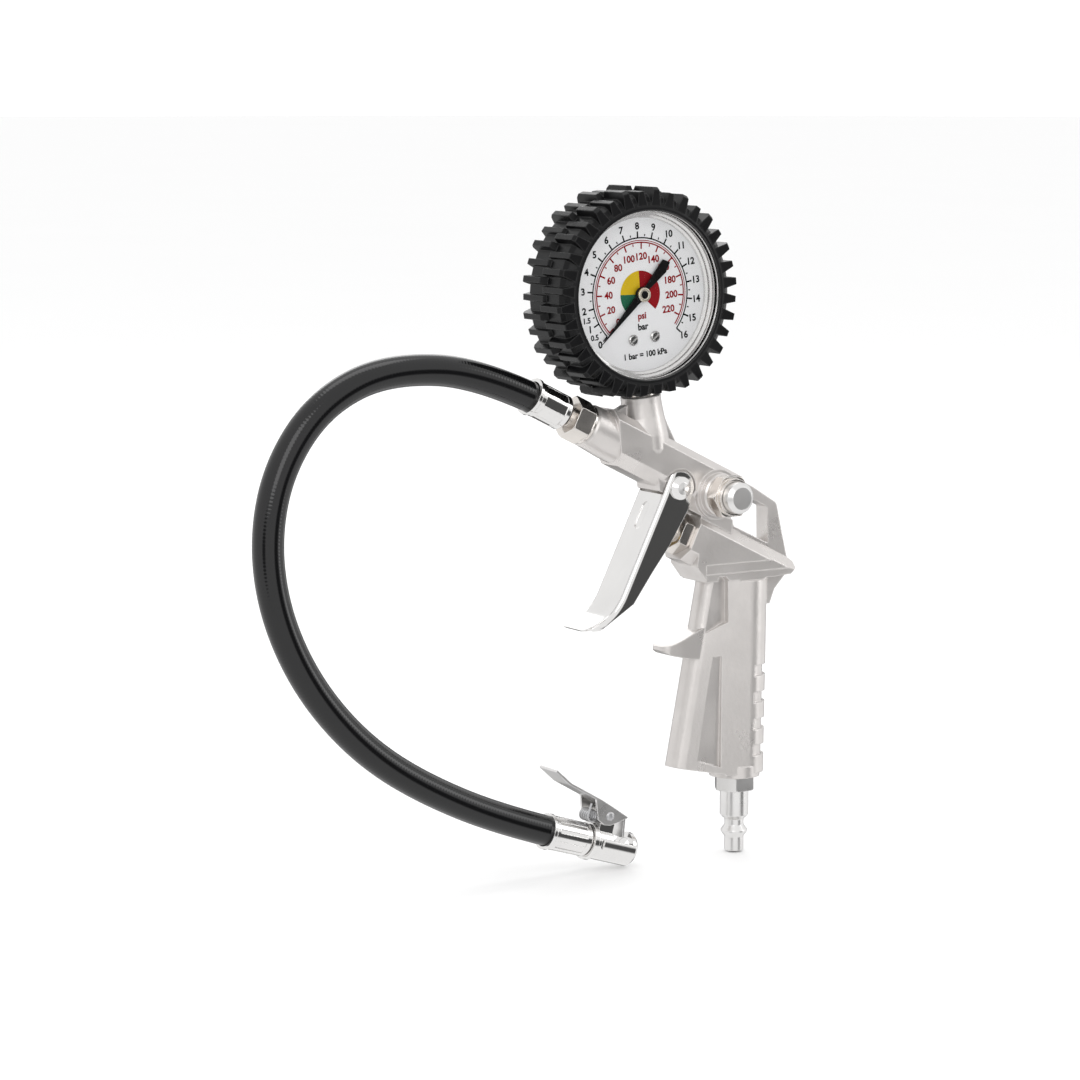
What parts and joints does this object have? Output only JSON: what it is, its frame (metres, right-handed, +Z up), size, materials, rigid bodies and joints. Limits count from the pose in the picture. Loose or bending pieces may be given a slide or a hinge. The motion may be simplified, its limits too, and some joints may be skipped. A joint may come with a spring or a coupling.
{
  "type": "tyre inflator with gauge",
  "caption": "Pistol-grip air gun for tyres with a dial gauge in a tyre-shaped rubber boot, a whip hose and a clip-on lever chuck.",
  "frame": {"origin": "centre of the tip of the air inlet plug, under the grip", "axes": "+Z up along the inlet plug and the grip, -X toward the muzzle, -Y the side that the dial faces; the gun's plane of symmetry is XZ"},
  "size_m": [0.2308, 0.0403, 0.2574],
  "materials": {
    "cast_body": "satin nickel-plated casting",
    "plated": "bright plated steel",
    "plated_brass": "nickel-plated brass",
    "brass": "bare brass",
    "steel": "plain steel",
    "black_steel": "black painted sheet",
    "boot_rubber": "moulded black rubber",
    "hose_rubber": "glossy black rubber with wrap marks",
    "seal_rubber": "soft black rubber",
    "dial_white": "white painted aluminium",
    "clear": "clear glass"
  },
  "bodies": {
    "gun": {"gun_body": "cast_body", "inlet_plug": "plated", "valve_gland_nut": "plated_brass", "stem_seal": "seal_rubber", "valve_seat": "brass", "valve_spring": "steel", "bleed_washer": "plated_brass", "bleed_nut": "plated_brass", "bleed_spring": "steel", "muzzle_fitting": "plated_brass", "muzzle_ferrule": "plated", "hose": "hose_rubber", "chuck_ferrule": "plated", "chuck_body": "plated_brass", "chuck_gasket": "seal_rubber", "valve_depressor": "brass", "lever_spring": "steel", "gauge_case": "black_steel", "glass_spacer": "plated", "glass_gasket": "seal_rubber", "gauge_glass": "clear", "gauge_bezel": "plated", "gauge_boot": "boot_rubber", "gauge_socket": "brass", "port_seal": "seal_rubber", "case_screws": "steel", "bourdon_tube": "brass", "movement_back_plate": "brass", "movement_pillars": "brass", "movement_front_plate": "brass", "hairspring": "steel", "dial_plate": "dial_white", "dial_screws": "steel"},
    "trigger": {"trigger": "plated", "trigger_pin": "plated"},
    "valve_stem": {"valve_stem": "brass", "valve_disc": "seal_rubber"},
    "bleed_button": {"bleed_button": "plated_brass", "bleed_seal": "seal_rubber"},
    "chuck_lever": {"chuck_lever": "plated", "lever_pin": "steel"},
    "pointer": {"pointer": "black_steel", "pointer_arbor": "brass"},
    "sector_gear": {"sector_gear": "brass"},
    "tip_link": {"tip_link": "brass"}
  },
  "joints": [
    {"name": "trigger_pull", "type": "hinge", "parent": "gun", "child": "trigger", "pos_m": [-0.0321, 0, 0.14381], "axis": [0, -1, 0], "range_deg": [0, 12], "stiffness_Nm_per_rad": 2, "springref_deg": -3.44},
    {"name": "valve_slide", "type": "slide", "parent": "gun", "child": "valve_stem", "axis": [0.8965, 0, -0.4431], "range_m": [0, 0.00295], "deforming": ["valve_spring"]},
    {"name": "bleed_press", "type": "slide", "parent": "gun", "child": "bleed_button", "axis": [0, 1, 0], "range_m": [0, 0.0022], "stiffness_N_per_m": 900, "springref_m": -0.002, "deforming": ["bleed_spring"]},
    {"name": "lever_squeeze", "type": "hinge", "parent": "gun", "child": "chuck_lever", "pos_m": [-0.06099, 0, 0.02077], "axis": [0, -1, 0], "range_deg": [0, 25], "stiffness_Nm_per_rad": 0.25, "springref_deg": -20.05, "deforming": ["lever_spring"]},
    {"name": "pointer_turn", "type": "hinge", "parent": "gun", "child": "pointer", "pos_m": [-0.0481, 0, 0.21698], "axis": [0, 1, 0], "range_deg": [0, 265]},
    {"name": "sector_swing", "type": "hinge", "parent": "gun", "child": "sector_gear", "pos_m": [-0.04669, 0, 0.20355], "axis": [0, 1, 0], "range_deg": [-33.3, 0]},
    {"name": "link_rise", "type": "slide", "parent": "gun", "child": "tip_link", "axis": [-0.1045, 0, 0.9945], "range_m": [0, 0.00398], "stiffness_N_per_m": 60, "springref_m": -0.0004, "deforming": ["bourdon_tube"]}
  ],
  "couplings": [
    {"joint": "valve_slide", "follows": "trigger_pull", "m_per_rad": 0.0139},
    {"joint": "sector_swing", "follows": "link_rise", "rad_per_m": -145},
    {"joint": "pointer_turn", "follows": "link_rise", "rad_per_m": 1160}
  ]
}
